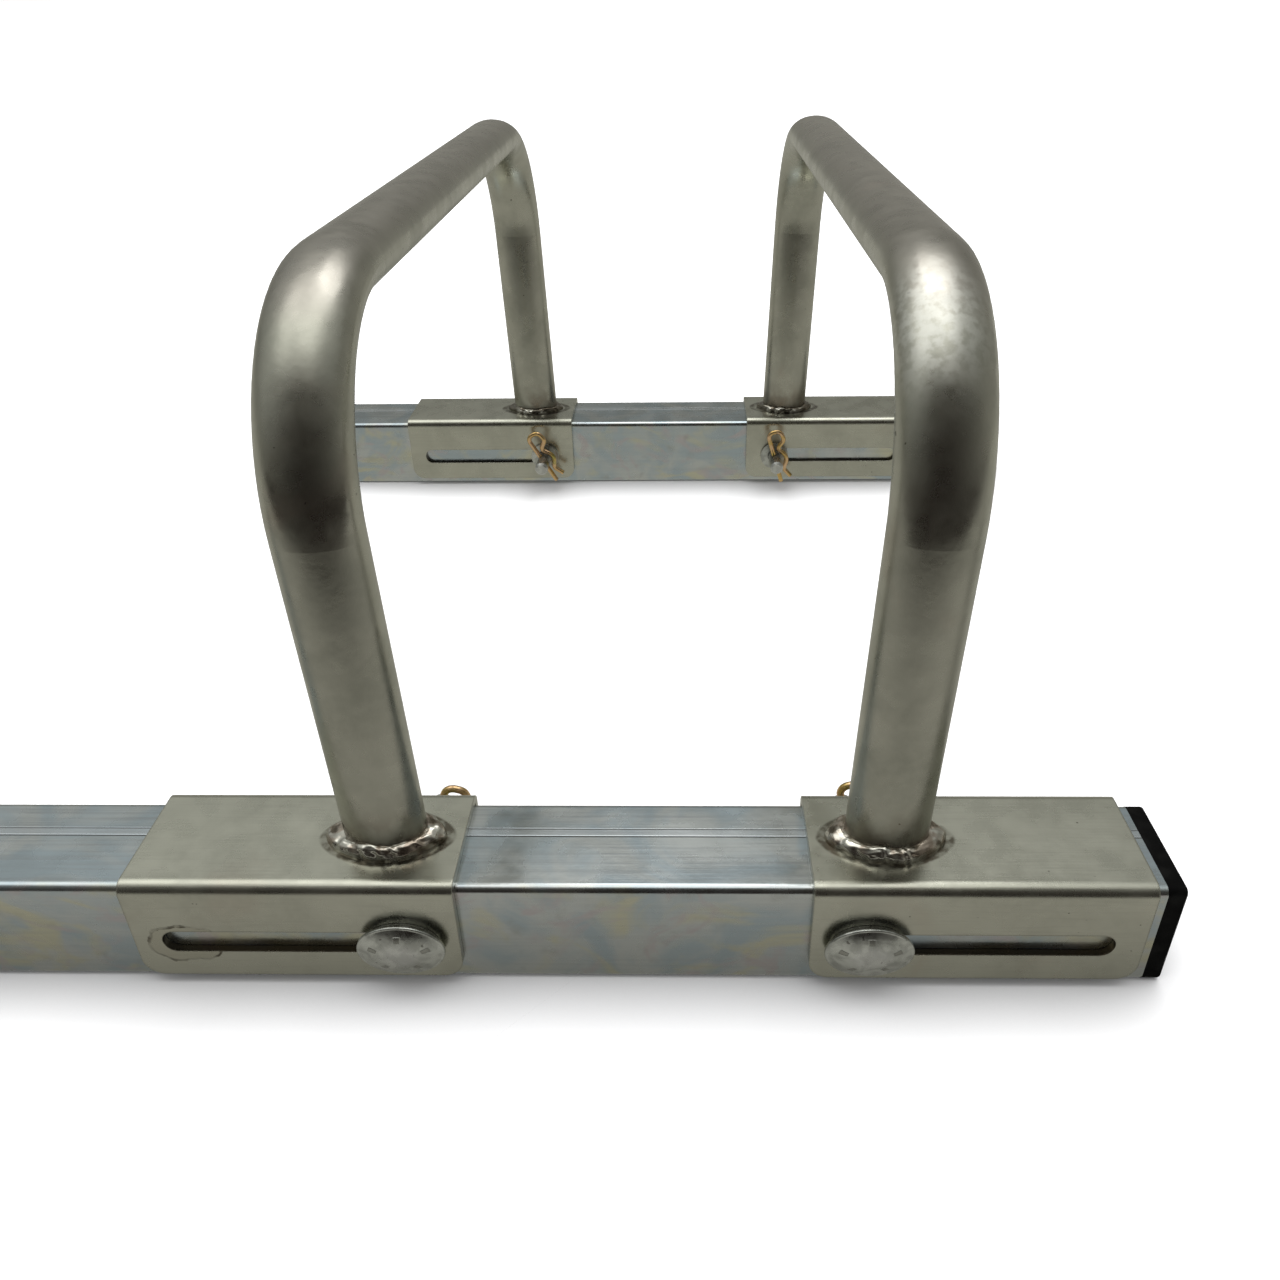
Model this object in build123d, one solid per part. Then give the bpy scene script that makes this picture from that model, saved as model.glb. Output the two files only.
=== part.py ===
"""Adjustable stile bracket on two cross bars.

Two bent-tube hoops stand on U-channel sleeves. The sleeves slide along two
square box-section bars and are kept on them by cross pins with spring clips.

Frame: millimetres, +X along the bars to the right, +Y from the front bar to
the rear bar, +Z up. The origin is on the underside of the front bar, on its
centre line, midway between the two hoops.
"""

from build123d import *
import os

# ---- driving dimensions -------------------------------------------------
BAR = 30.0  # outside width and height of both box-section bars
BAR_WALL = 2.0
BAR_EDGE_R = 2.0
BAR_SPACING = 300.0  # front bar centre line to rear bar centre line
FRONT_BAR_LEFT = -377.5
FRONT_BAR_RIGHT = 122.5
REAR_BAR_HALF = 152.4

TUBE_HALF_WIDTH = 10.0  # the tube is oval, wider along X than it is deep
TUBE_HALF_DEPTH = 7.0
TUBE_WALL = 1.6
HOOP_GAP = 100.0  # between the inner faces of the two hoops, at bar height
HOOP_HEIGHT = 156.7  # centre line of the top rail above the bars' underside
HOOP_BEND_R = 43.5
HOOP_LEAN = 1.5  # outward lean of each hoop, degrees

SHEET = 2.0
SLEEVE_CLEAR = 0.1
SLEEVE_INNER_END = 41.5  # sleeve ends, as distances from the middle of the gap
SLEEVE_OUTER_END = 119.5
SLEEVE_BEND_R = 3.0
SLEEVE_LOWER_EDGE = 3.0
SLEEVE_CORNER_R = 5.0

PIN_X = 55.0
PIN_Z = 14.3
PIN_R = 3.0
PIN_HOLE_R = 3.1
PIN_END = 34.0  # from the bar's centre line to the pin's plain end
PIN_HEAD_R = 10.5  # half the head's width; the head is flattened to an oval
PIN_HEAD_RIM = 1.2
PIN_HEAD_RIM_EDGE_R = 0.45
PIN_HEAD_DOME_R = 9.8
PIN_HEAD_DOME = 2.0
HEAD_FLATTEN = 0.74  # height over width of the heads and of the washers under them
NECK = 6.0
SLOT_HEIGHT = 6.6
SLOT_OUTER_END = 112.7

WASHER_R = 9.0
WASHER_BORE_R = 6.0
WASHER_THICK = 1.0
HEAD_GAP = 0.4  # slack between the outer washer and the pin's head
INNER_WASHER_R = 6.5
INNER_WASHER_BORE_R = 3.2
INNER_WASHER_THICK = 1.2

WIRE_R = 1.0
WIRE_HOLE_R = 1.2
CLIP_SLACK = 4.6  # between the inner washer and the clip
CLIP_TURN = {"front_left": 74.0, "front_right": 101.0, "rear_left": 121.0, "rear_right": 107.0}

CAP_THICK = 4.6
CAP_CORNER_R = 1.8
CAP_EDGE_R = 0.8
CAP_PLUG_DEPTH = 16.0
CAP_PLUG_WALL = 1.8
CAP_FIN_HEIGHT = 0.4

FRONT_BEAD = (15.3, 9.4, 4.2)  # half width, half depth and height
REAR_BEAD = (14.0, 9.4, 2.6)
BEAD_TOP_LIP = 1.0

# ---- derived dimensions --------------------------------------------------
HALF_BAR = BAR / 2
SLEEVE_FACE = HALF_BAR + SLEEVE_CLEAR + SHEET
SLEEVE_TOP = BAR + SLEEVE_CLEAR + SHEET
SLEEVE_LENGTH = SLEEVE_OUTER_END - SLEEVE_INNER_END
HOOP_X = HOOP_GAP / 2 + TUBE_HALF_WIDTH
WASHER_FACE = SLEEVE_FACE + SLEEVE_CLEAR
HEAD_SEAT = WASHER_FACE + WASHER_THICK + HEAD_GAP
NECK_END = HALF_BAR + 0.4
CLIP_PLANE = WASHER_FACE + INNER_WASHER_THICK + WIRE_R + CLIP_SLACK
SIDES = {"left": -1, "right": 1}
ROWS = {"front": 0.0, "rear": BAR_SPACING}


def box_between(low, high):
    """A box from its lowest to its highest corner."""
    size = [b - a for a, b in zip(low, high)]
    middle = [(a + b) / 2 for a, b in zip(low, high)]
    return Pos(*middle) * Box(*size)


def rod(radius, start, end):
    """A round rod along Y from start to end, on the line x = z = 0."""
    return Pos(0, (start + end) / 2, 0) * Rot(90, 0, 0) * Cylinder(radius, end - start)


def cross_holes(positions, radius):
    """Tools for round holes across a bar that lies on the line y = 0."""
    holes = Part()
    for x in positions:
        holes += Pos(x, 0, PIN_Z) * rod(radius, -BAR, BAR)
    return holes


def bar(left, right):
    """A box-section bar on the line y = 0, with a cross hole through both walls for each pin."""
    section = RectangleRounded(BAR, BAR, BAR_EDGE_R)
    bore = BAR - 2 * BAR_WALL
    section -= RectangleRounded(bore, bore, BAR_EDGE_R / 2)
    body = extrude(Plane.YZ * section, amount=right - left)
    body = Pos(left, 0, HALF_BAR) * body
    return body - cross_holes([-PIN_X, PIN_X], PIN_HOLE_R)


def end_cap(x, direction):
    """A plastic cap with a ribbed plug; direction is the way it faces."""
    flange = extrude(Plane.YZ * RectangleRounded(BAR, BAR, CAP_CORNER_R), amount=CAP_THICK)
    outer_edges = flange.faces().sort_by(Axis.X)[-1].edges()
    flange = fillet(outer_edges, CAP_EDGE_R)
    bore = BAR - 2 * BAR_WALL
    plug_width = bore - 2 * CAP_FIN_HEIGHT - 0.2
    hollow_width = plug_width - 2 * CAP_PLUG_WALL
    plug = RectangleRounded(plug_width, plug_width, 1.0) - RectangleRounded(hollow_width, hollow_width, 1.0)
    cap = flange + extrude(Plane.YZ * plug, amount=-CAP_PLUG_DEPTH)
    fin = RectangleRounded(bore - 0.1, bore - 0.1, 1.0) - RectangleRounded(hollow_width, hollow_width, 1.0)
    for depth in (4.0, 8.0, 12.0):
        cap += Pos(-depth, 0, 0) * extrude(Plane.YZ * fin, amount=-1.0)
    if direction < 0:
        cap = Rot(0, 0, 180) * cap
    return Pos(x, 0, HALF_BAR) * cap


def sleeve(side):
    """A U-channel sleeve that opens downwards, with a slot in both flanges."""
    width = 2 * SLEEVE_FACE
    height = SLEEVE_TOP - SLEEVE_LOWER_EDGE
    shell = box_between((0, -SLEEVE_FACE, SLEEVE_LOWER_EDGE), (SLEEVE_LENGTH, SLEEVE_FACE, SLEEVE_TOP))
    top_edges = shell.edges().filter_by(Axis.X).sort_by(Axis.Z)[-2:]
    shell = fillet(top_edges, SLEEVE_BEND_R)
    hollow = box_between(
        (-1, -width / 2 + SHEET, SLEEVE_LOWER_EDGE - height),
        (SLEEVE_LENGTH + 1, width / 2 - SHEET, SLEEVE_TOP - SHEET),
    )
    hollow_edges = hollow.edges().filter_by(Axis.X).sort_by(Axis.Z)[-2:]
    shell -= fillet(hollow_edges, SLEEVE_BEND_R - SHEET)
    corners = shell.edges().filter_by(Axis.Y).group_by(Axis.Z)[0]
    shell = fillet(corners, SLEEVE_CORNER_R)
    slot_start = PIN_X - SLEEVE_INNER_END - SLOT_HEIGHT / 2 - 1.7
    slot_end = SLOT_OUTER_END - SLEEVE_INNER_END
    slot_middle = (slot_start + slot_end) / 2
    slot = extrude(Plane.XZ * SlotOverall(slot_end - slot_start, SLOT_HEIGHT), amount=BAR, both=True)
    shell -= Pos(slot_middle, 0, PIN_Z) * slot
    if side < 0:
        shell = Rot(0, 0, 180) * shell
    return Pos(side * SLEEVE_INNER_END, 0, 0) * shell


def tube_section(inset):
    """The tube's oval outline, moved inwards by inset."""
    return Ellipse(TUBE_HALF_WIDTH - inset, TUBE_HALF_DEPTH - inset)


def hoop(side):
    """A bent-tube hoop with two upright legs and a level top rail."""
    foot = -2 * TUBE_HALF_WIDTH
    top = HOOP_HEIGHT - SLEEVE_TOP
    corners = [(0, 0, foot), (0, 0, top), (0, BAR_SPACING, top), (0, BAR_SPACING, foot)]
    path = FilletPolyline(*corners, radius=HOOP_BEND_R)
    section = tube_section(0) - tube_section(TUBE_WALL)
    tube = sweep(sections=Plane(origin=path @ 0, x_dir=(1, 0, 0), z_dir=path % 0) * section, path=path)
    tube = Rot(0, side * HOOP_LEAN, 0) * tube
    below = box_between((-BAR, -BAR, -BAR), (BAR, BAR_SPACING + BAR, 0))
    return Pos(side * HOOP_X, 0, SLEEVE_TOP) * (tube - below)


def leg_tool(side):
    """The outside of a leg near its foot, used to trim welds to the tube."""
    return Rot(0, side * HOOP_LEAN, 0) * extrude(tube_section(0), amount=BAR, both=True)


def weld_bead(side, y, size):
    """The weld all round a leg's foot, wider at the leg's sides."""
    half_x, half_y, height = size
    foot = Ellipse(half_x, half_y)
    waist = Ellipse(half_x - 1.0, half_y - 0.5)
    top = tube_section(-BEAD_TOP_LIP)
    levels = [foot, Pos(0, 0, height * 0.55) * waist, Pos(0, 0, height) * top]
    bead = loft(levels, ruled=True) - leg_tool(side)
    return Pos(side * HOOP_X, y, SLEEVE_TOP) * bead


def clip_path():
    """Centre line of a hairpin clip in its own plane: straight leg, eye, wavy leg."""
    points = [
        (-11.0, 0, 0),
        (13.6, 0, 0),
        (13.6, 5.8, 0),
        (8.6, 6.6, 0),
        (5.6, 2.4, 0),
        (0, 6.2, 0),
        (-5.0, 2.7, 0),
        (-9.6, 4.9, 0),
    ]
    return FilletPolyline(*points, radius=[2.6, 2.6, 2.2, 1.8, 4.2, 2.0])


def in_place(shape, side, row):
    """Moves a shape made along +Y at x = z = 0 to a pin's axis in one row."""
    if row == "rear":
        shape = Rot(0, 0, 180) * shape
    return Pos(side * PIN_X, ROWS[row], PIN_Z) * shape


def clip_turned(shape, side_name, row):
    """Turns a shape about the pin's axis to the angle of that pin's clip."""
    angle = CLIP_TURN[row + "_" + side_name]
    mirrored = 180 - angle if row == "rear" else angle
    return Rot(0, -mirrored, 0) * shape


def flattened(shape):
    """Squeezes a round shape on the pin's axis to the heads' oval."""
    return scale(shape, by=(1, 1, HEAD_FLATTEN))


def pin_head():
    """The low dome on a rim with rounded edges."""
    rim_front = -HEAD_SEAT - PIN_HEAD_RIM
    rim = fillet(rod(PIN_HEAD_R, rim_front, -HEAD_SEAT).edges(), PIN_HEAD_RIM_EDGE_R)
    ball_r = (PIN_HEAD_DOME_R**2 + PIN_HEAD_DOME**2) / (2 * PIN_HEAD_DOME)
    ball = Pos(0, rim_front - PIN_HEAD_DOME + ball_r, 0) * Sphere(ball_r)
    dome = ball & rod(PIN_HEAD_DOME_R, rim_front - 2 * PIN_HEAD_DOME, rim_front)
    return flattened(rim + dome)


def pin(side_name, row):
    """A cup-head pin with a short square neck and a cross hole for its clip."""
    shank = rod(PIN_R, -HEAD_SEAT, PIN_END)
    shank = chamfer(shank.edges().sort_by(Axis.Y)[-1], 0.9)
    neck = box_between((-NECK / 2, -HEAD_SEAT, -NECK / 2), (NECK / 2, -NECK_END, NECK / 2))
    wire_hole = Pos(0, CLIP_PLANE, 0) * Rot(0, 90, 0) * Cylinder(WIRE_HOLE_R, 4 * PIN_R)
    body = shank + neck + pin_head() - clip_turned(wire_hole, side_name, row)
    return in_place(body, SIDES[side_name], row)


def outer_washer(side, row):
    """The plain washer under a pin's head."""
    start = -WASHER_FACE - WASHER_THICK
    ring = rod(WASHER_R, start, -WASHER_FACE) - rod(WASHER_BORE_R, start - 1, -WASHER_FACE + 1)
    return in_place(flattened(ring), side, row)


def inner_washer(side, row):
    """The small washer between the sleeve and the clip."""
    end = WASHER_FACE + INNER_WASHER_THICK
    ring = rod(INNER_WASHER_R, WASHER_FACE, end) - rod(INNER_WASHER_BORE_R, WASHER_FACE - 1, end + 1)
    return in_place(ring, side, row)


def spring_clip(side_name, row):
    """A hairpin clip: its straight leg goes through the pin's cross hole."""
    path = clip_path()
    wire = sweep(sections=Plane(origin=path @ 0, z_dir=path % 0) * Circle(WIRE_R), path=path)
    bent_leg_side = 90 if row == "rear" else -90
    upright = Pos(0, CLIP_PLANE, 0) * Rot(bent_leg_side, 0, 0) * wire
    return in_place(clip_turned(upright, side_name, row), SIDES[side_name], row)


def build_nodes():
    """Every sub-part of the bracket, by node name."""
    nodes = {
        "front_bar": bar(FRONT_BAR_LEFT, FRONT_BAR_RIGHT),
        "rear_bar": Pos(0, BAR_SPACING, 0) * bar(-REAR_BAR_HALF, REAR_BAR_HALF),
        "end_cap_front_left": end_cap(FRONT_BAR_LEFT, -1),
        "end_cap_front_right": end_cap(FRONT_BAR_RIGHT, 1),
        "end_cap_rear_left": Pos(0, BAR_SPACING, 0) * end_cap(-REAR_BAR_HALF, -1),
        "end_cap_rear_right": Pos(0, BAR_SPACING, 0) * end_cap(REAR_BAR_HALF, 1),
    }
    for side_name, side in SIDES.items():
        nodes["hoop_" + side_name] = hoop(side)
        nodes["weld_bead_front_" + side_name] = weld_bead(side, 0, FRONT_BEAD)
        nodes["weld_bead_rear_" + side_name] = weld_bead(side, BAR_SPACING, REAR_BEAD)
        for row, y in ROWS.items():
            place = row + "_" + side_name
            nodes["sleeve_" + place] = Pos(0, y, 0) * sleeve(side)
            nodes["pin_" + place] = pin(side_name, row)
            nodes["outer_washer_" + place] = outer_washer(side, row)
            nodes["inner_washer_" + place] = inner_washer(side, row)
            nodes["spring_clip_" + place] = spring_clip(side_name, row)
    return nodes


def main():
    os.makedirs("parts", exist_ok=True)
    for name, shape in build_nodes().items():
        export_step(shape, "parts/" + name + ".step")


main()
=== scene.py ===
"""Looks for the adjustable stile bracket: materials, weld beads, floor, light and camera."""
import bpy
import math
import random
from mathutils import Matrix, Vector, noise


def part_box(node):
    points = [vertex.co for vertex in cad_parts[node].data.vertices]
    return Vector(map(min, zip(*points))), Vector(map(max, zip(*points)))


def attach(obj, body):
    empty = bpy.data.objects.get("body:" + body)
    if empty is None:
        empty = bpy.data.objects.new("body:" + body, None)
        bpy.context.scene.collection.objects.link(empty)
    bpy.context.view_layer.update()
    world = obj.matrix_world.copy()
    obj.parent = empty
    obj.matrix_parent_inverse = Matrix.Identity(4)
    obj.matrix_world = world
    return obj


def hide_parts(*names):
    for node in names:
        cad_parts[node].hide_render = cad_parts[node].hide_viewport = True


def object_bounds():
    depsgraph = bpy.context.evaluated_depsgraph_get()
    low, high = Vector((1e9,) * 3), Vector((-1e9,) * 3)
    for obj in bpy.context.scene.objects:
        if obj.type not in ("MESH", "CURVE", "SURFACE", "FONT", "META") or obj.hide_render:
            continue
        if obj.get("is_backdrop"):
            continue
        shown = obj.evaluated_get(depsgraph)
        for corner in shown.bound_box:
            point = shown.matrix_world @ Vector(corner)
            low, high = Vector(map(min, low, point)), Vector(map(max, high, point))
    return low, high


MM = 0.001
SIDES = ("left", "right")
ROWS = ("front", "rear")
LEG_HALF_WIDTH = 9.95 * MM  # just inside the oval tube's skin
LEG_HALF_DEPTH = 6.95 * MM
POINTED = 1.75  # power of the weld beads' outline
BEAD_RIPPLES = 13
BEAD_AROUND = 360  # mesh steps round a bead and across it
BEAD_ACROSS = 26
SLOT_END_MARGIN = 6 * MM  # sheet left between a slot's end and the sleeve's end, about
SLOT_HALF_HEIGHT = 3.4 * MM
SEAM_GROOVES = (2.6 * MM, 5.2 * MM)  # behind a bar's middle line, either side of the band
SEAM_BAND = 4.0 * MM
MARK_COUNT = 5  # raised marks round a pin's head
MARK_RADIUS = 6.6 * MM
WORN_AND_HIGHLIGHT_AT = (0.058, 0.010, 0.157)  # a spot on the right hoop's front bend, part wear and part painted highlight, metres

# ---- camera ----------------------------------------------------------------
CAMERA_AT = (0.0120, -0.1885, 0.2079)
CAMERA_PITCH = 31.50  # degrees below the horizon
CAMERA_YAW = -1.45  # degrees, positive towards +X
CAMERA_ROLL = -0.85
CAMERA_LENS = 29.45  # mm on a 36 mm sensor
CAMERA_SHIFT = (-0.0173, -0.0121)

# ---- light -----------------------------------------------------------------
# The eye sees a white room and floor. Shiny surfaces see the darker ones given by the stops below.
FLOOR_COLOUR = (0.95, 0.95, 0.955, 1)
# The floor as the metals see it, a glow that stands in for its reflection, with a painted shadow under
# the front bar: colour by distance along Y, from FLOOR_NEAR_Y to FLOOR_FAR_Y.
FLOOR_NEAR_Y = -0.30
FLOOR_FAR_Y = 0.30
FLOOR_STOPS = (
    (0.12, (0.018, 0.013, 0.010)),
    (0.21, (0.37, 0.365, 0.33)),
    (0.43, (0.45, 0.44, 0.40)),
    (0.472, (0.24, 0.235, 0.21)),
    (0.60, (0.47, 0.465, 0.415)),
)
FLOOR_CONTACT_SHADE = (0.30, 0.30, 0.303, 1)  # painted contact shade: the floor's colour where it meets the bars
CONTACT_SHADE_REACH = 0.024
FLOOR_SIZE = 60.0
FLOOR_DROP = 0.0002
SKY_WHITE = 0.95
SUN_STRENGTH = 2.3
SUN_ANGLE = 70.0  # degrees, a wide soft source
SUN_TILT = -14.0  # degrees about X
PANEL_AT = (0.10, 0.42, 0.95)  # metres, like its aim and size
PANEL_AIM = (0.02, 0.02, 0.12)
PANEL_SIZE = (0.50, 0.42)
PANEL_POWER = 1.1  # watts
# The room as the metals see it: colour by height of the line of sight, 0 level and 1 straight up.
ROOM_STOPS = (
    (0.0, (0.30, 0.295, 0.265)),
    (0.34, (0.235, 0.235, 0.21)),
    (0.55, (0.38, 0.385, 0.365)),
    (0.68, (0.47, 0.48, 0.455)),
    (0.84, (0.60, 0.61, 0.58)),
    (0.94, (1.75, 1.76, 1.71)),
)
FRONT_STOPS = (
    (0.0, (0.014, 0.010, 0.008)),
    (0.55, (0.022, 0.017, 0.013)),
    (0.75, (0.05, 0.044, 0.036)),
    (0.87, (0.18, 0.175, 0.16)),
    (0.94, (0.75, 0.75, 0.72)),
    (0.975, (2.00, 2.01, 1.96)),
)
ROOM_TILT = -0.22  # the room is paler towards -X
FRONT_FULL = -1.0  # share of the level heading along Y
FRONT_NONE = -0.05


# ---- node helpers ------------------------------------------------------------
class Surface:
    """A Principled material with short helpers for building its node tree."""

    def __init__(self, name, metallic=1.0):
        self.material = bpy.data.materials.new(name)
        self.material.use_nodes = True
        self.tree = self.material.node_tree
        self.shader = self.tree.nodes["Principled BSDF"]
        self.shader.inputs["Metallic"].default_value = metallic
        self.coords = self.tree.nodes.new("ShaderNodeTexCoord")
        self.bumps = []

    def node(self, kind, **inputs):
        made = self.tree.nodes.new(kind)
        for key, value in inputs.items():
            self.put(made.inputs[key.replace("_", " ")], value)
        return made

    def put(self, socket, value):
        if isinstance(value, bpy.types.NodeSocket):
            self.tree.links.new(value, socket)
        else:
            socket.default_value = value

    def place(self, scale):
        """Object coordinates in metres, scaled."""
        mapping = self.tree.nodes.new("ShaderNodeMapping")
        mapping.vector_type = "POINT"
        self.put(mapping.inputs["Vector"], self.coords.outputs["Object"])
        mapping.inputs["Scale"].default_value = scale
        return mapping.outputs["Vector"]

    def noise(self, scale, stretch=(1, 1, 1), detail=3.0, roughness=0.5, distortion=0.0):
        made = self.node("ShaderNodeTexNoise", Scale=scale, Detail=detail, Roughness=roughness)
        made.inputs["Distortion"].default_value = distortion
        self.put(made.inputs["Vector"], self.place(stretch))
        return made.outputs["Fac"]

    def math(self, operation, a, b=0.5, clamp=False):
        made = self.tree.nodes.new("ShaderNodeMath")
        made.operation = operation
        made.use_clamp = clamp
        self.put(made.inputs[0], a)
        self.put(made.inputs[1], b)
        return made.outputs[0]

    def ramp(self, value, low, high, out_low=0.0, out_high=1.0):
        """Maps value from low..high to out_low..out_high, smooth and clamped."""
        made = self.tree.nodes.new("ShaderNodeMapRange")
        made.interpolation_type = "SMOOTHSTEP"
        self.put(made.inputs["Value"], value)
        made.inputs["From Min"].default_value = low
        made.inputs["From Max"].default_value = high
        made.inputs["To Min"].default_value = out_low
        made.inputs["To Max"].default_value = out_high
        return made.outputs["Result"]

    def mix(self, factor, a, b):
        made = self.tree.nodes.new("ShaderNodeMix")
        made.data_type = "RGBA"
        self.put(made.inputs[0], factor)
        self.put(made.inputs[6], a if isinstance(a, bpy.types.NodeSocket) else (*a, 1))
        self.put(made.inputs[7], b if isinstance(b, bpy.types.NodeSocket) else (*b, 1))
        return made.outputs[2]

    def axis(self, name, source="Object"):
        """One coordinate, in metres, or one part of the object-space normal."""
        split = self.tree.nodes.new("ShaderNodeSeparateXYZ")
        self.put(split.inputs[0], self.coords.outputs[source])
        return split.outputs[name]

    def near(self, value, middle, half_width, soft):
        """1 where value is within half_width of middle, fading to 0 over soft."""
        offset = self.math("ABSOLUTE", self.math("SUBTRACT", value, middle))
        return self.ramp(offset, half_width, half_width + soft, 1.0, 0.0)

    def bump(self, height, strength, distance=0.0002):
        self.bumps.append((height, strength, distance))

    def finish(self, colour, roughness, edge=0.0):
        """Links colour and roughness, rounds edges for shading and chains the bumps."""
        self.put(self.shader.inputs["Base Color"], colour)
        self.put(self.shader.inputs["Roughness"], roughness)
        normal = None
        if edge:
            bevel = self.tree.nodes.new("ShaderNodeBevel")
            bevel.samples = 4
            bevel.inputs["Radius"].default_value = edge
            normal = bevel.outputs["Normal"]
        for height, strength, distance in self.bumps:
            made = self.node("ShaderNodeBump", Height=height, Strength=strength, Distance=distance)
            if normal is not None:
                self.put(made.inputs["Normal"], normal)
            normal = made.outputs["Normal"]
        if normal is not None:
            self.put(self.shader.inputs["Normal"], normal)
        return self.material


# ---- materials -----------------------------------------------------------------
def zinc_colour(s, pale, dark, brown):
    """Uneven satin zinc: slow clouds, fine mottling, brown stains and dark specks."""
    clouds = s.ramp(s.noise(42, detail=5, distortion=0.6), 0.32, 0.68)
    colour = s.mix(clouds, dark, pale)
    mottle = s.ramp(s.noise(420, detail=3), 0.35, 0.7, 0.0, 0.35)
    colour = s.mix(mottle, colour, pale)
    stain = s.ramp(s.noise(24, detail=4, distortion=1.2), 0.60, 0.78, 0.0, 0.5)
    colour = s.mix(stain, colour, brown)
    specks = s.ramp(s.noise(620, detail=1), 0.79, 0.82, 0.0, 0.7)
    return s.mix(specks, colour, (0.07, 0.065, 0.05))


def worn_and_highlight_spot(s):
    """1 at the spot on the right hoop's front bend that is part wear and part painted highlight, fading
    out in mottled flecks.
    """
    away = s.node("ShaderNodeVectorMath")
    away.operation = "DISTANCE"
    s.put(away.inputs[0], s.coords.outputs["Object"])
    away.inputs[1].default_value = WORN_AND_HIGHLIGHT_AT
    spot = s.ramp(away.outputs["Value"], 0.006, 0.022, 1.0, 0.0)
    return s.math("MULTIPLY", spot, s.ramp(s.noise(480, detail=5), 0.34, 0.60, 0.15, 1.0))


def tube_zinc():
    """Satin zinc tube: a browner rail, burnt feet and one spot that is part wear and part painted
    highlight.
    """
    s = Surface("hoop_satin_zinc")
    colour = zinc_colour(s, (0.47, 0.465, 0.40), (0.37, 0.37, 0.315), (0.42, 0.36, 0.30))
    z = s.axis("Z")
    up = s.axis("Z", "Normal")
    rail = s.math("MULTIPLY", s.ramp(up, 0.35, 0.9, 0.0, 0.45), s.ramp(z, 0.150, 0.158))
    colour = s.mix(rail, colour, (0.40, 0.355, 0.33))
    heat = s.math("MULTIPLY", s.ramp(z, 0.034, 0.050, 1.0, 0.0), s.ramp(s.noise(110), 0.35, 0.6))
    colour = s.mix(s.math("MULTIPLY", heat, 0.75), colour, (0.19, 0.155, 0.12))
    rough = s.ramp(s.noise(160, detail=4), 0.3, 0.7, 0.25, 0.36)
    wear_and_highlight = worn_and_highlight_spot(s)
    # wear and painted highlight: the spot is made paler and rougher
    colour = s.mix(s.math("MULTIPLY", wear_and_highlight, 0.6), colour, (0.78, 0.78, 0.73))
    rough = s.math("ADD", rough, s.math("MULTIPLY", wear_and_highlight, 0.10))
    s.bump(s.noise(700, detail=3), 0.10)
    s.bump(s.noise(110, detail=2), 0.05, 0.0004)
    return s.finish(colour, rough)


def slot_patch(s, colour):
    """A ground and refilled oval round one slot's outer end, with a dark, broken rim."""
    end, level, reach = 0.1102, 0.0135, 0.0055
    x = s.math("ADD", s.axis("X"), end)
    beyond = s.math("MAXIMUM", s.math("ABSOLUTE", s.math("SUBTRACT", x, reach / 2)), reach / 2)
    dx = s.math("SUBTRACT", beyond, reach / 2)
    dz = s.math("SUBTRACT", s.axis("Z"), level)
    distance = s.math("SQRT", s.math("ADD", s.math("MULTIPLY", dx, dx), s.math("MULTIPLY", dz, dz)))
    wobble = s.math("MULTIPLY", s.math("SUBTRACT", s.noise(260, detail=3), 0.5), 0.0028)
    distance = s.math("ADD", distance, wobble)
    front = s.ramp(s.axis("Y"), -0.0170, -0.0168, 1.0, 0.0)
    inside = s.math("MULTIPLY", s.ramp(distance, 0.0054, 0.0060, 1.0, 0.0), front)
    rim = s.math("MULTIPLY", s.near(distance, 0.0058, 0.00015, 0.0004), front)
    rim = s.math("MULTIPLY", rim, s.ramp(s.noise(180), 0.42, 0.62, 0.1, 0.9))
    colour = s.mix(s.math("MULTIPLY", inside, 0.45), colour, (0.40, 0.38, 0.30))
    s.bump(s.math("SUBTRACT", s.math("MULTIPLY", inside, 0.6), rim), 0.6, 0.0003)
    return s.mix(rim, colour, (0.10, 0.085, 0.06))


def slot_wall_shade_mask(s):
    """1 on the cut walls of the slots, 0 elsewhere; it places the painted shade in the slots."""
    across = s.math("ABSOLUTE", s.axis("Y", "Normal"))
    level = s.near(s.axis("Z"), SLOT_LEVEL, SLOT_HALF_HEIGHT, 0.0002)
    wall = s.math("MULTIPLY", level, s.ramp(across, 0.2, 0.7, 1.0, 0.0))
    along = s.near(s.math("ABSOLUTE", s.axis("X")), SLOT_MIDDLE, SLOT_HALF + 0.001, 0.0002)
    return s.math("MULTIPLY", wall, along)


def scorch_and_shade_ring(s):
    """1 on a broken ring on the sleeve's top, just outside the weld bead: part scorch, part painted
    contact shade where the bead meets the sheet.
    """
    from_leg = s.math("SUBTRACT", s.math("ABSOLUTE", s.axis("X")), LEG_X)
    from_row = s.math("ABSOLUTE", s.math("SUBTRACT", s.axis("Y"), REAR_Y))
    from_row = s.math("MINIMUM", from_row, s.math("ABSOLUTE", s.axis("Y")))
    long_way = s.math("POWER", s.math("ABSOLUTE", s.math("DIVIDE", from_leg, BEAD_HALF_WIDTH)), POINTED)
    short_way = s.math("POWER", s.math("DIVIDE", from_row, BEAD_HALF_DEPTH), POINTED)
    scorch_and_shade = s.near(s.math("ADD", long_way, short_way), 1.0, 0.09, 0.12)
    scorch_and_shade = s.math("MULTIPLY", scorch_and_shade, s.ramp(s.noise(330, detail=3), 0.35, 0.60, 0.25, 0.9))
    return s.math("MULTIPLY", scorch_and_shade, s.ramp(s.axis("Z", "Normal"), 0.6, 0.9))


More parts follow.
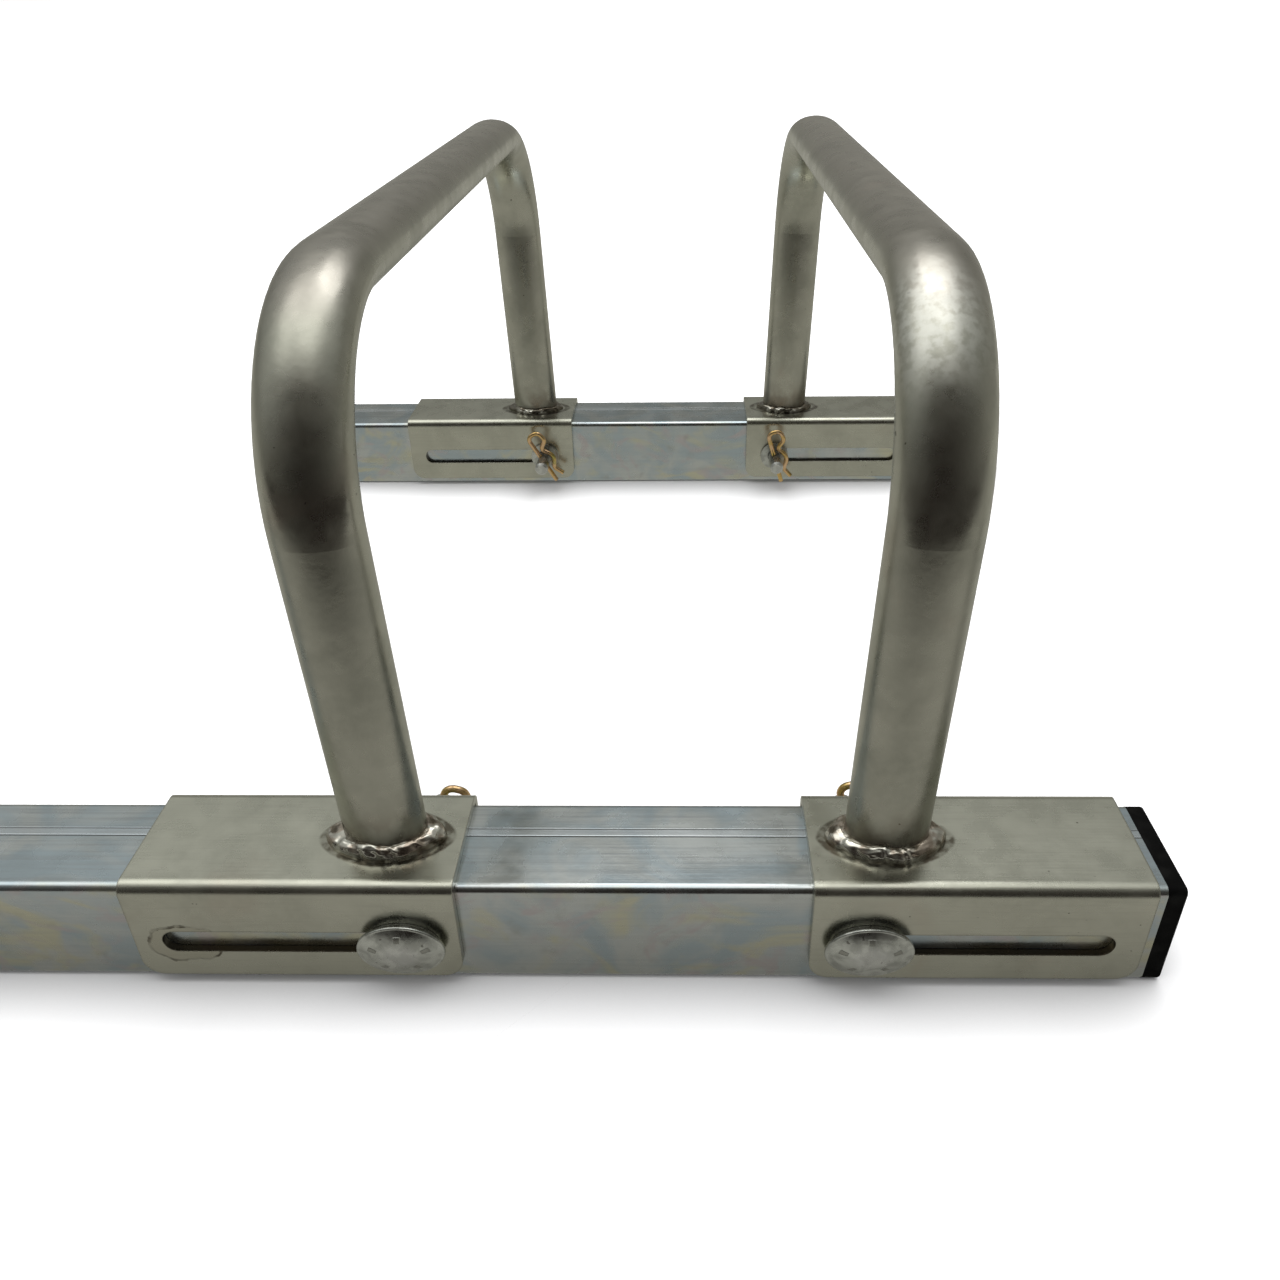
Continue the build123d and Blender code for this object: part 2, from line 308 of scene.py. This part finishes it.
def sleeve_zinc(name, patched=False):
    """Satin zinc sheet with rolling lines, painted shade on the slot walls and a ring round the weld that
    is part scorch and part painted contact shade.
    """
    s = Surface(name)
    colour = zinc_colour(s, (0.52, 0.52, 0.445), (0.44, 0.44, 0.375), (0.46, 0.42, 0.35))
    lines = s.noise(60, stretch=(1, 26, 26), detail=4)
    colour = s.mix(s.ramp(lines, 0.5, 0.75, 0.0, 0.25), colour, (0.36, 0.36, 0.31))
    # painted shade: the slot walls are darkened as if lying in the slots' shade
    colour = s.mix(slot_wall_shade_mask(s), colour, (0.13, 0.11, 0.08))
    # a ring round the weld bead's foot: part scorch, part painted contact shade
    colour = s.mix(scorch_and_shade_ring(s), colour, (0.11, 0.095, 0.07))
    if patched:
        colour = slot_patch(s, colour)
    rough = s.ramp(s.noise(120, detail=5), 0.3, 0.7, 0.24, 0.34)
    s.bump(s.noise(520, detail=3), 0.07)
    s.bump(lines, 0.10)
    return s.finish(colour, rough, edge=0.0006)


def bar_zinc(name):
    """Drawn box section in bluish zinc, with straw and rose tints on its upright faces."""
    s = Surface(name)
    steel, blue = (0.54, 0.565, 0.56), (0.42, 0.49, 0.53)
    straw, rose = (0.58, 0.565, 0.43), (0.52, 0.48, 0.49)
    colour = s.mix(s.ramp(s.noise(38, detail=4, distortion=1.5), 0.35, 0.62), steel, blue)
    side = s.math("ABSOLUTE", s.axis("Y", "Normal"))
    straw_mask = s.ramp(s.noise(30, stretch=(1, 1, 1.6), detail=5, distortion=2.0), 0.47, 0.66, 0.0, 0.9)
    colour = s.mix(s.math("MULTIPLY", straw_mask, side), colour, straw)
    rose_mask = s.ramp(s.noise(47, stretch=(1, 2, 1.3), detail=5, distortion=2.5), 0.52, 0.70, 0.0, 0.8)
    colour = s.mix(s.math("MULTIPLY", rose_mask, side), colour, rose)
    grime = s.ramp(s.noise(150, detail=6), 0.55, 0.8, 0.0, 0.5)
    colour = s.mix(s.math("MULTIPLY", grime, side), colour, (0.34, 0.35, 0.33))
    drawn = s.noise(24, stretch=(1, 42, 42), detail=5, roughness=0.6)
    lines = s.math("MULTIPLY", s.ramp(drawn, 0.42, 0.72, 0.0, 0.6), s.ramp(side, 0.3, 0.9, 1.0, 0.3))
    colour = s.mix(lines, colour, (0.36, 0.385, 0.40))
    return s, colour, drawn


def bar_with_seam(name, middle):
    """Bar zinc with its welded seam: a smooth band between two fine grooves."""
    s, colour, drawn = bar_zinc(name)
    y = s.math("SUBTRACT", s.axis("Y"), middle)
    top = s.ramp(s.axis("Z", "Normal"), 0.6, 0.9)
    near_groove = s.near(y, SEAM_GROOVES[0], 0.00010, 0.00025)
    far_groove = s.near(y, SEAM_GROOVES[1], 0.00008, 0.0002)
    grooves = s.math("ADD", near_groove, far_groove)
    grooves = s.math("MULTIPLY", grooves, top, clamp=True)
    band = s.math("MULTIPLY", s.near(y, SEAM_BAND, 0.0011, 0.0004), top)
    colour = s.mix(s.math("MULTIPLY", band, 0.45), colour, (0.66, 0.70, 0.74))
    colour = s.mix(s.math("MULTIPLY", grooves, 0.75), colour, (0.16, 0.17, 0.18))
    rough = s.ramp(s.noise(90, detail=5), 0.3, 0.7, 0.20, 0.32)
    s.bump(drawn, 0.12)
    s.bump(s.noise(600, detail=3), 0.10)
    s.bump(s.math("MULTIPLY", grooves, -1.0), 0.5, 0.0002)
    return s.finish(colour, rough)


def fastener_zinc(name, centre=None):
    """Bright zinc for pins and washers. A pin's head gets a worn middle and five short marks."""
    s = Surface(name)
    clouds = s.ramp(s.noise(260, detail=4, distortion=0.8), 0.35, 0.65)
    colour = s.mix(clouds, (0.38, 0.39, 0.365), (0.56, 0.575, 0.54))
    specks = s.ramp(s.noise(900, detail=1), 0.70, 0.76, 0.0, 0.7)
    colour = s.mix(specks, colour, (0.12, 0.11, 0.10))
    if centre is not None:
        x = s.math("SUBTRACT", s.axis("X"), centre[0])
        z = s.math("DIVIDE", s.math("SUBTRACT", s.axis("Z"), centre[1]), centre[2])
        radius = s.math("SQRT", s.math("ADD", s.math("MULTIPLY", x, x), s.math("MULTIPLY", z, z)))
        turn = s.math("ARCTAN2", z, x)
        ring = s.near(radius, MARK_RADIUS, 0.0009, 0.00015)
        dashes = s.ramp(s.math("SINE", s.math("MULTIPLY", turn, MARK_COUNT)), 0.80, 0.90)
        marks = s.math("MULTIPLY", ring, dashes)
        worn = s.ramp(radius, 0.0030, 0.0062, 0.35, 0.0)
        colour = s.mix(worn, colour, (0.66, 0.66, 0.66))
        colour = s.mix(s.math("MULTIPLY", marks, 0.6), colour, (0.20, 0.195, 0.17))
        s.bump(marks, 0.7, 0.0003)
    rough = s.ramp(s.noise(300, detail=4), 0.3, 0.7, 0.20, 0.36)
    s.bump(s.noise(800, detail=3), 0.16)
    return s.finish(colour, rough, edge=0.0002)


def weld_metal(name, soot_and_shade_share):
    """Bright weld metal with brown tints and dark patches; the second argument is how far the patches
    cover it. The patches are soot, and on the rear beads, where they are heavier, also painted shade.
    """
    s = Surface(name)
    tint = s.ramp(s.noise(170, detail=3, distortion=1.0), 0.46, 0.66, 0.0, 0.75)
    colour = s.mix(tint, (0.62, 0.61, 0.55), (0.34, 0.26, 0.20))
    # dark patches: soot, with painted shade added on the rear beads' heavier copy
    soot_and_shade_patches = s.ramp(s.noise(210, detail=3), 0.62 - soot_and_shade_share, 0.72 - soot_and_shade_share, 0.0, 0.85)
    colour = s.mix(soot_and_shade_patches, colour, (0.10, 0.085, 0.06))
    rough = s.ramp(s.noise(300, detail=3), 0.3, 0.7, 0.10, 0.26)
    s.bump(s.noise(900, detail=2), 0.12)
    return s.finish(colour, rough)


def clip_gold():
    """Yellow-passivated spring wire, gold with green and brown tints."""
    s = Surface("clip_yellow_zinc")
    colour = s.mix(s.ramp(s.noise(300, detail=3), 0.35, 0.65), (0.66, 0.45, 0.16), (0.74, 0.50, 0.30))
    green = s.ramp(s.noise(190, detail=2), 0.55, 0.7, 0.0, 0.7)
    colour = s.mix(green, colour, (0.42, 0.40, 0.12))
    rough = s.ramp(s.noise(500, detail=2), 0.3, 0.7, 0.16, 0.30)
    s.bump(s.noise(1500, detail=2), 0.10, 0.0001)
    return s.finish(colour, rough)


def cap_plastic():
    """Matt black plastic with faint scuffs."""
    s = Surface("cap_black_plastic", metallic=0.0)
    clouds = s.ramp(s.noise(200, detail=5), 0.4, 0.75)
    colour = s.mix(clouds, (0.0015, 0.0015, 0.0015), (0.005, 0.005, 0.0045))
    scuffs = s.ramp(s.noise(130, stretch=(1, 6, 1), detail=6), 0.66, 0.8, 0.0, 0.5)
    colour = s.mix(scuffs, colour, (0.02, 0.0195, 0.019))
    rough = s.ramp(s.noise(400, detail=4), 0.3, 0.7, 0.50, 0.66)
    s.shader.inputs["Specular IOR Level"].default_value = 0.04
    s.bump(s.noise(1600, detail=3), 0.20)
    s.bump(s.noise(120, detail=2), 0.10, 0.0004)
    return s.finish(colour, rough, edge=0.0003)


# ---- pieces ----------------------------------------------------------------------
def dress(node, material):
    """Gives a carried-over CAD node its material."""
    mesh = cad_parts[node].data
    mesh.materials.clear()
    mesh.materials.append(material)


def lumps(angle, seed, size):
    """A slow random swelling round a bead."""
    return noise.noise(Vector((math.cos(angle) * 1.6, math.sin(angle) * 1.6, seed))) * size


def oval(half_x, half_y, angle, power=2.0):
    """Radius of an oval at an angle; a power under 2 draws its long ends out to points."""
    share = abs(math.cos(angle) / half_x) ** power + abs(math.sin(angle) / half_y) ** power
    return share ** (-1 / power)


def bead_point(angle, t, section, seed, phase):
    """A point of a bead's skin: t runs from its outer foot (0) up to the leg (1)."""
    inner, reach, crown = section
    lean = math.pi / 2 * t
    radius = inner + (reach - inner) * math.cos(lean) ** 0.85
    level = crown * math.sin(lean) ** 0.8
    crescent = BEAD_RIPPLES * angle + phase + 5.0 * t + 2.4 * lumps(angle * 2, seed + 3, 2.0)
    ripple = math.sin(crescent) * (0.55 + 0.45 * noise.noise(Vector((angle * 3, t * 3, seed))))
    if t < 0.85:
        fade = math.sin(math.pi * min(1, t * 1.15 + 0.02)) ** 0.6
    else:
        fade = max(0, (1 - t) / 0.15) * 0.6
    push = (0.26 * ripple + 0.20 * noise.noise(Vector((angle * 5, t * 4, seed)))) * MM * fade
    radius += push * math.cos(lean)
    level += push * math.sin(lean)
    return radius * math.cos(angle), radius * math.sin(angle), max(0.0, level)


def bead_section(angle, half_x, half_y, height, seed):
    """The leg's radius, the bead's reach and its crown height at one angle."""
    depth = half_y * (1.0 if math.sin(angle) < 0 else 0.93)
    inner = oval(LEG_HALF_WIDTH, LEG_HALF_DEPTH, angle)
    reach = oval(half_x, depth, angle, POINTED) * (0.96 + lumps(angle, seed, 0.07))
    crown = height * (0.84 + lumps(angle, seed + 7.3, 0.26))
    return inner, reach, crown


def weld_bead(name, node, body, seed, material):
    """A hand-laid weld round a leg's foot: a smooth convex ring with long flowing ripples."""
    low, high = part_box(node)
    centre = (low + high) / 2
    half_x, half_y, height = (high.x - low.x) / 2, (high.y - low.y) / 2, high.z - low.z
    phase = random.Random(seed).uniform(0, math.tau)
    vertices = []
    for i in range(BEAD_AROUND):
        angle = math.tau * i / BEAD_AROUND
        section = bead_section(angle, half_x, half_y, height, seed)
        for j in range(BEAD_ACROSS):
            vertices.append(bead_point(angle, j / (BEAD_ACROSS - 1), section, seed, phase))
    faces = []
    for i in range(BEAD_AROUND):
        here = i * BEAD_ACROSS
        there = (i + 1) % BEAD_AROUND * BEAD_ACROSS
        for j in range(BEAD_ACROSS - 1):
            faces.append((here + j, there + j, there + j + 1, here + j + 1))
    mesh = bpy.data.meshes.new(name)
    mesh.from_pydata(vertices, [], faces)
    mesh.polygons.foreach_set("use_smooth", [True] * len(faces))
    piece = bpy.data.objects.new(name, mesh)
    piece.location = (centre.x, centre.y, low.z)
    bpy.context.scene.collection.objects.link(piece)
    mesh.materials.append(material)
    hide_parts(node)
    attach(piece, body)


# ---- surroundings --------------------------------------------------------------------
def colour_ramp(nodes, stops):
    """A colour ramp node; stops are (position, colour)."""
    node = nodes.new("ShaderNodeValToRGB")
    elements = node.color_ramp.elements
    while len(elements) < len(stops):
        elements.new(0.5)
    for element, (at, colour) in zip(elements, stops):
        element.position = at
        element.color = (*colour, 1)
    return node


def blank_tree(owner, output_kind):
    """The emptied node tree of a material or world, its links and its output node."""
    owner.use_nodes = True
    nodes, links = owner.node_tree.nodes, owner.node_tree.links
    nodes.clear()
    return nodes, links, nodes.new(output_kind)


def mixed_colour(nodes, links, factor, first, second):
    """Mixes two colours; each is a socket or a plain colour."""
    made = nodes.new("ShaderNodeMix")
    made.data_type = "RGBA"
    links.new(factor, made.inputs[0])
    for place, colour in ((6, first), (7, second)):
        if isinstance(colour, bpy.types.NodeSocket):
            links.new(colour, made.inputs[place])
        else:
            made.inputs[place].default_value = colour
    return made.outputs[2]


def floor_in_metals(nodes, links):
    """The floor as shiny surfaces see it, a glowing painted reflection: grey, with a painted shadow under
    the front bar, dark far in front.
    """
    coords = nodes.new("ShaderNodeTexCoord")
    split = nodes.new("ShaderNodeSeparateXYZ")
    links.new(coords.outputs["Object"], split.inputs[0])
    away = nodes.new("ShaderNodeMapRange")
    links.new(split.outputs["Y"], away.inputs["Value"])
    away.inputs["From Min"].default_value = FLOOR_NEAR_Y
    away.inputs["From Max"].default_value = FLOOR_FAR_Y
    tone = colour_ramp(nodes, FLOOR_STOPS)
    links.new(away.outputs["Result"], tone.inputs[0])
    floor_glow = nodes.new("ShaderNodeEmission")
    links.new(tone.outputs[0], floor_glow.inputs["Color"])
    return floor_glow.outputs[0]


def floor_material():
    """Plain white, with painted contact shade: a little darker close to whatever stands on it."""
    material = bpy.data.materials.new("floor_white")
    nodes, links, output = blank_tree(material, "ShaderNodeOutputMaterial")
    contact_shade = nodes.new("ShaderNodeAmbientOcclusion")
    contact_shade.inputs["Distance"].default_value = CONTACT_SHADE_REACH
    plain = nodes.new("ShaderNodeBsdfDiffuse")
    colour = mixed_colour(nodes, links, contact_shade.outputs["AO"], FLOOR_CONTACT_SHADE, FLOOR_COLOUR)
    links.new(colour, plain.inputs["Color"])
    paths = nodes.new("ShaderNodeLightPath")
    blend = nodes.new("ShaderNodeMixShader")
    links.new(paths.outputs["Is Glossy Ray"], blend.inputs[0])
    links.new(plain.outputs[0], blend.inputs[1])
    links.new(floor_in_metals(nodes, links), blend.inputs[2])
    links.new(blend.outputs[0], output.inputs["Surface"])
    return material


def make_floor():
    """A wide plane just under the bars."""
    mesh = bpy.data.meshes.new("floor")
    half = FLOOR_SIZE / 2
    corners = [(x * half, y * half, -FLOOR_DROP) for x, y in ((-1, -1), (1, -1), (1, 1), (-1, 1))]
    mesh.from_pydata(corners, [], [(0, 1, 2, 3)])
    mesh.materials.append(floor_material())
    floor = bpy.data.objects.new("floor", mesh)
    bpy.context.scene.collection.objects.link(floor)
    floor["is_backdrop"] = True


def front_share(nodes, links, split):
    """0 where the line of sight heads straight to the front, rising to 1 at the sides and back."""
    level = nodes.new("ShaderNodeCombineXYZ")
    links.new(split.outputs["X"], level.inputs["X"])
    links.new(split.outputs["Y"], level.inputs["Y"])
    heading = nodes.new("ShaderNodeVectorMath")
    heading.operation = "NORMALIZE"
    links.new(level.outputs[0], heading.inputs[0])
    ahead = nodes.new("ShaderNodeSeparateXYZ")
    links.new(heading.outputs[0], ahead.inputs[0])
    front = nodes.new("ShaderNodeMapRange")
    links.new(ahead.outputs["Y"], front.inputs["Value"])
    front.inputs["From Min"].default_value = FRONT_FULL
    front.inputs["From Max"].default_value = FRONT_NONE
    return front.outputs["Result"]


def room_in_metals(nodes, links):
    """The room as shiny surfaces see it, paler overhead and dark brown in front."""
    coords = nodes.new("ShaderNodeTexCoord")
    split = nodes.new("ShaderNodeSeparateXYZ")
    links.new(coords.outputs["Generated"], split.inputs[0])
    tilt = nodes.new("ShaderNodeMath")
    tilt.operation = "MULTIPLY_ADD"
    links.new(split.outputs["X"], tilt.inputs[0])
    tilt.inputs[1].default_value = ROOM_TILT
    links.new(split.outputs["Z"], tilt.inputs[2])
    room = colour_ramp(nodes, ROOM_STOPS)
    links.new(tilt.outputs[0], room.inputs[0])
    shade = colour_ramp(nodes, FRONT_STOPS)
    links.new(split.outputs["Z"], shade.inputs[0])
    return mixed_colour(nodes, links, front_share(nodes, links, split), shade.outputs[0], room.outputs[0])


def make_world():
    """White to the eye and for the floor; the room above for shiny surfaces."""
    world = bpy.data.worlds.new("studio")
    bpy.context.scene.world = world
    nodes, links, output = blank_tree(world, "ShaderNodeOutputWorld")
    in_metal = nodes.new("ShaderNodeBackground")
    links.new(room_in_metals(nodes, links), in_metal.inputs["Color"])
    white = nodes.new("ShaderNodeBackground")
    white.inputs["Strength"].default_value = SKY_WHITE
    seen = nodes.new("ShaderNodeBackground")
    for background in (white, seen):
        background.inputs["Color"].default_value = (1, 1, 1, 1)
    paths = nodes.new("ShaderNodeLightPath")
    to_metal = nodes.new("ShaderNodeMixShader")
    links.new(paths.outputs["Is Glossy Ray"], to_metal.inputs[0])
    links.new(white.outputs[0], to_metal.inputs[1])
    links.new(in_metal.outputs[0], to_metal.inputs[2])
    to_eye = nodes.new("ShaderNodeMixShader")
    links.new(paths.outputs["Is Camera Ray"], to_eye.inputs[0])
    links.new(to_metal.outputs[0], to_eye.inputs[1])
    links.new(seen.outputs[0], to_eye.inputs[2])
    links.new(to_eye.outputs[0], output.inputs["Surface"])


def make_panel():
    """A soft panel above the back, seen only in shiny surfaces."""
    data = bpy.data.lights.new("panel", "AREA")
    data.shape = "RECTANGLE"
    data.size, data.size_y = PANEL_SIZE
    data.energy = PANEL_POWER
    panel = bpy.data.objects.new("panel", data)
    panel.location = PANEL_AT
    panel.rotation_euler = (Vector(PANEL_AIM) - Vector(PANEL_AT)).to_track_quat("-Z", "Y").to_euler()
    panel.visible_diffuse = False
    bpy.context.scene.collection.objects.link(panel)


def make_sun():
    """A wide soft sun for the floor and its shadows, not seen in shiny surfaces."""
    data = bpy.data.lights.new("soft_sun", "SUN")
    data.energy = SUN_STRENGTH
    data.angle = math.radians(SUN_ANGLE)
    sun = bpy.data.objects.new("soft_sun", data)
    sun.rotation_euler = (math.radians(SUN_TILT), 0, 0)
    sun.visible_glossy = False
    bpy.context.scene.collection.objects.link(sun)


def make_camera():
    """The photo's view: a fairly wide lens close by, looking down from the front."""
    data = bpy.data.cameras.new("camera")
    data.sensor_width = 36
    data.lens = CAMERA_LENS
    data.shift_x, data.shift_y = CAMERA_SHIFT
    data.clip_start = 0.01
    data.clip_end = 100
    camera = bpy.data.objects.new("camera", data)
    pitch, yaw, roll = (math.radians(a) for a in (CAMERA_PITCH, CAMERA_YAW, CAMERA_ROLL))
    aimed = Matrix.Rotation(-yaw, 4, "Z") @ Matrix.Rotation(math.pi / 2 - pitch, 4, "X")
    rolled = Matrix.Rotation(roll, 4, "Z")
    camera.matrix_world = Matrix.Translation(CAMERA_AT) @ aimed @ rolled
    bpy.context.scene.collection.objects.link(camera)
    bpy.context.scene.camera = camera


# ---- the scene -------------------------------------------------------------------------
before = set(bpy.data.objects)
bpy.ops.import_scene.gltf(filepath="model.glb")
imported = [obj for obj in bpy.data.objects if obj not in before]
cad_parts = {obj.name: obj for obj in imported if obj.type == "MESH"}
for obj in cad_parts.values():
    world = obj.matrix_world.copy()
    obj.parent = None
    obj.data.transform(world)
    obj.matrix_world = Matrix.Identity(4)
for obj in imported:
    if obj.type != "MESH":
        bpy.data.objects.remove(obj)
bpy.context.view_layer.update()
sleeve_low, sleeve_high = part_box("sleeve_front_right")
pin_low, pin_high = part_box("pin_front_right")
SLOT_LEVEL = (pin_low.z + pin_high.z) / 2
bead_low, bead_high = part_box("weld_bead_front_right")
LEG_X = (bead_low.x + bead_high.x) / 2
REAR_Y = (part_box("rear_bar")[0].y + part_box("rear_bar")[1].y) / 2
BEAD_HALF_WIDTH = (bead_high.x - bead_low.x) / 2
BEAD_HALF_DEPTH = (bead_high.y - bead_low.y) / 2
SLOT_MIDDLE = (sleeve_low.x + sleeve_high.x) / 2
SLOT_HALF = (sleeve_high.x - sleeve_low.x) / 2 - SLOT_END_MARGIN
MATERIALS = {
    "tube": tube_zinc(),
    "sleeve": sleeve_zinc("sleeve_satin_zinc"),
    "sleeve_patched": sleeve_zinc("sleeve_patched_zinc", patched=True),
    "washer": fastener_zinc("washer_zinc"),
    "weld_front": weld_metal("weld_bright", 0.02),
    # the rear beads' copy: heavier dark patches, soot plus painted shade
    "weld_rear": weld_metal("weld_sooty_and_shaded", 0.20),
    "clip": clip_gold(),
    "cap": cap_plastic(),
}

dress("front_bar", bar_with_seam("front_bar_zinc", 0.0))
dress("rear_bar", bar_with_seam("rear_bar_zinc", REAR_Y))
for side in SIDES:
    body = "hoop_unit_" + side
    dress("hoop_" + side, MATERIALS["tube"])
    for row in ROWS:
        place = row + "_" + side
        dress("sleeve_" + place, MATERIALS["sleeve_patched" if place == "front_left" else "sleeve"])
        dress("outer_washer_" + place, MATERIALS["washer"])
        dress("inner_washer_" + place, MATERIALS["washer"])
        dress("spring_clip_" + place, MATERIALS["clip"])
        dress("end_cap_" + place, MATERIALS["cap"])
        low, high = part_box("pin_" + place)
        pin_centre = ((low.x + high.x) / 2, (low.z + high.z) / 2, (high.z - low.z) / (high.x - low.x))
        dress("pin_" + place, fastener_zinc("pin_zinc_" + place, pin_centre))
        seed = 1 + 2 * SIDES.index(side) + 5 * ROWS.index(row)
        weld_bead("rippled_bead_" + place, "weld_bead_" + place, body, seed, MATERIALS["weld_" + row])

make_floor()
make_world()
make_panel()
make_sun()
make_camera()
bpy.context.scene.view_settings.view_transform = "Standard"

low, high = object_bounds()
